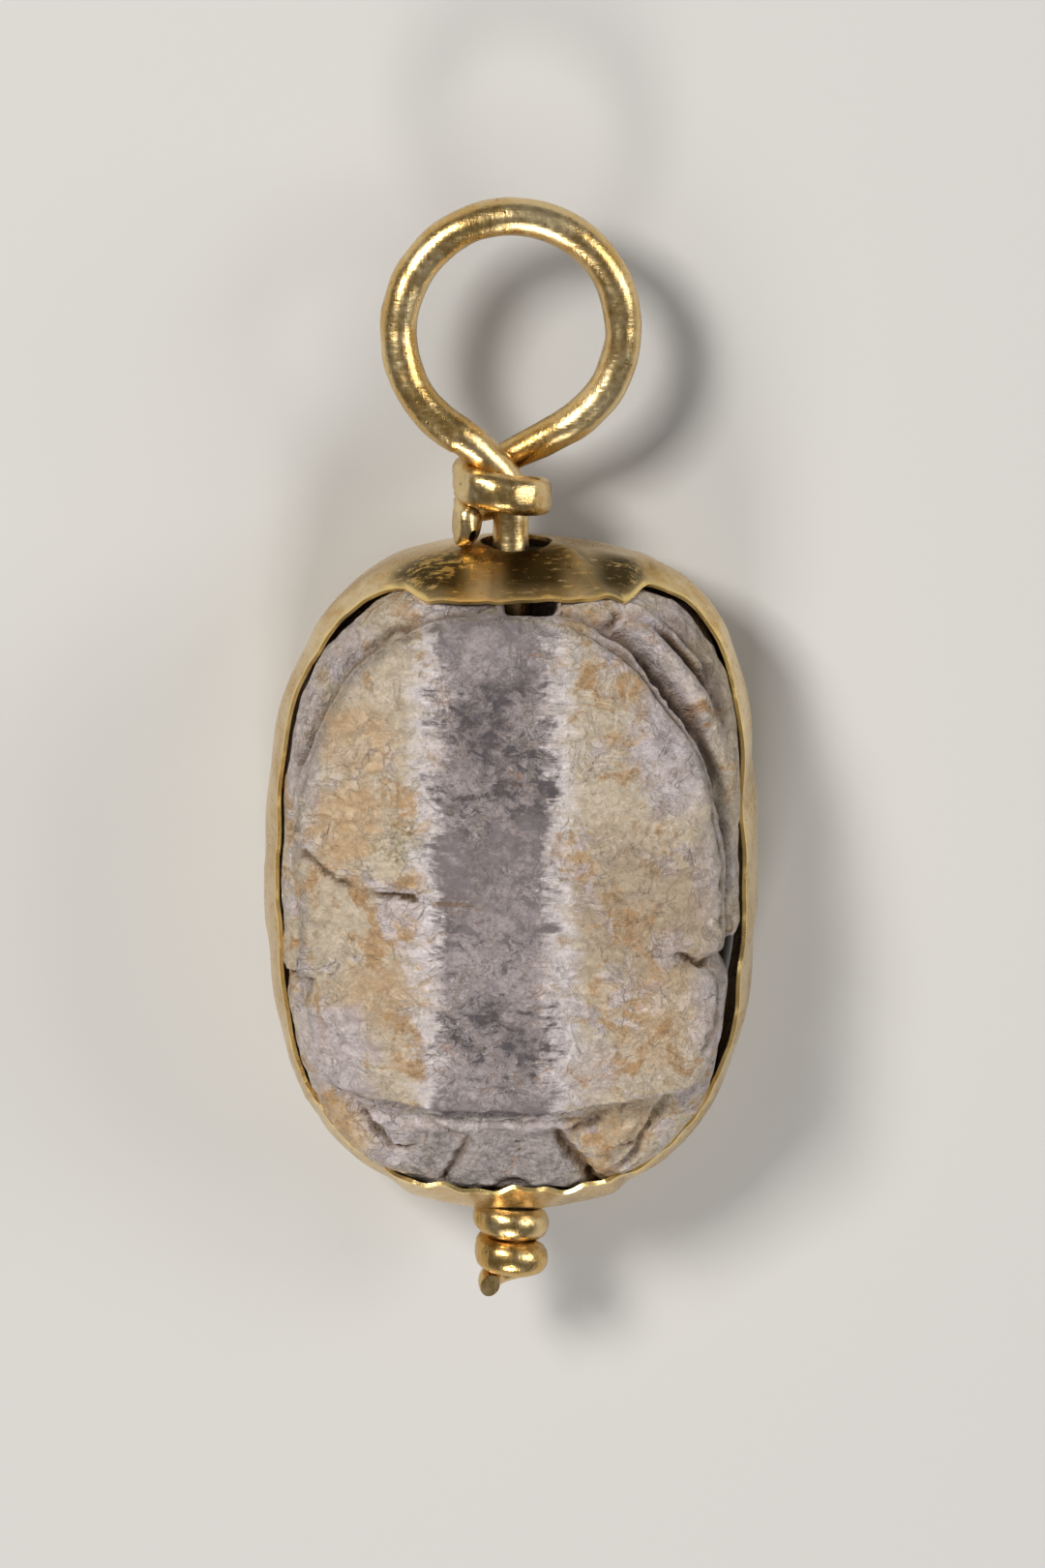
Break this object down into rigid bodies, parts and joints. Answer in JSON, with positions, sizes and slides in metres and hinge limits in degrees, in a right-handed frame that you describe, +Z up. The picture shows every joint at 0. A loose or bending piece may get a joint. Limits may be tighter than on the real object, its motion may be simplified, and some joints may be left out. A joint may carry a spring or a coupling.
{
  "type": "scarab amulet",
  "caption": "Oval carved steatite scarab with a flat base, held by a convex gold strip and a gold wire through its length that ends in a hanging ring and a tight coil.",
  "frame": {"origin": "middle of the stone's flat base, which it lies on", "axes": "+Y from the beetle's head to the hanging ring, +Z up out of the beetle's back"},
  "size_m": [0.0208, 0.0469, 0.0126],
  "materials": {
    "steatite": "worn and slightly waxy, cream and ochre with a dark grey-violet band",
    "sheet_gold": "burnished sheet gold with scratches and pits",
    "wire_gold": "hammered gold wire, satin with bright facets"
  },
  "bodies": {
    "root": {"scarab": "steatite", "gold_strip": "sheet_gold", "gold_wire": "wire_gold"}
  },
  "joints": []
}
